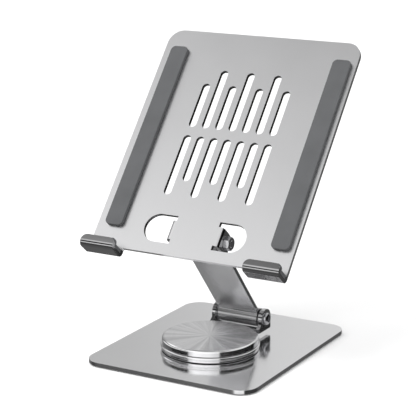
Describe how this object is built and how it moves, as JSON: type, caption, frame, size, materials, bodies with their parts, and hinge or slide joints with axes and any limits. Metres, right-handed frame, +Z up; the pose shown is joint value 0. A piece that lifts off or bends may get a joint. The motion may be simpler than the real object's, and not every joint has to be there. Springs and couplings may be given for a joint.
{
  "type": "tablet stand",
  "caption": "Folding desk stand for a tablet: turntable base, arm hinged at both ends, slotted tilting plate with hooks.",
  "frame": {"origin": "centre of the turntable's axis at the level of the surface the stand rests on", "axes": "+X to the right of a person facing the holder, -Y towards that person, +Z up"},
  "size_m": [0.1766, 0.1787, 0.2464],
  "materials": {
    "brushed_sheet": "satin brushed",
    "polished_sheet": "polished",
    "turned_disc": "turned with a fine circular grain",
    "fastener": "bright zinc",
    "silicone": "matte silicone",
    "foot_rubber": "matte",
    "black_nylon": "matte"
  },
  "bodies": {
    "base": {"base_plate": "brushed_sheet", "base_pad": "foot_rubber", "slip_washer": "black_nylon", "pivot_bolt": "fastener", "pivot_washer": "fastener", "pivot_spring_washer": "fastener", "pivot_nut": "fastener"},
    "turntable": {"turntable_lower_disc": "turned_disc", "turntable_cap": "turned_disc", "cap_screw_1": "fastener", "cap_screw_2": "fastener", "cap_screw_3": "fastener", "hinge_bracket": "polished_sheet", "bracket_screw_1": "fastener", "bracket_screw_2": "fastener", "lower_hinge_bolt": "fastener", "lower_hinge_sleeve_nut": "fastener", "lower_friction_washer_left": "black_nylon", "lower_friction_washer_right": "black_nylon", "lower_spring_washer_left": "fastener", "lower_spring_washer_right": "fastener"},
    "arm_body": {"arm": "brushed_sheet", "lower_bushing": "black_nylon", "upper_bushing": "black_nylon"},
    "panel_body": {"panel": "brushed_sheet", "back_pad_left": "silicone", "back_pad_right": "silicone", "hook_pad_left": "silicone", "hook_pad_right": "silicone", "upper_hinge_bolt": "fastener", "upper_hinge_nut": "fastener", "upper_friction_washer_left": "black_nylon", "upper_friction_washer_right": "black_nylon", "upper_spring_washer_left": "fastener", "upper_spring_washer_right": "fastener"}
  },
  "joints": [
    {"name": "turntable_swivel", "type": "hinge", "parent": "base", "child": "turntable", "pos_m": [0, 0, 0.001], "axis": [0, 0, 1], "continuous": true},
    {"name": "lower_hinge", "type": "hinge", "parent": "turntable", "child": "arm_body", "pos_m": [0, 0.0531, 0.0175], "axis": [1, 0, 0], "range_deg": [-45, 32]},
    {"name": "upper_hinge", "type": "hinge", "parent": "arm_body", "child": "panel_body", "pos_m": [0, -0.01691, 0.09947], "axis": [1, 0, 0], "range_deg": [-40, 75]}
  ]
}
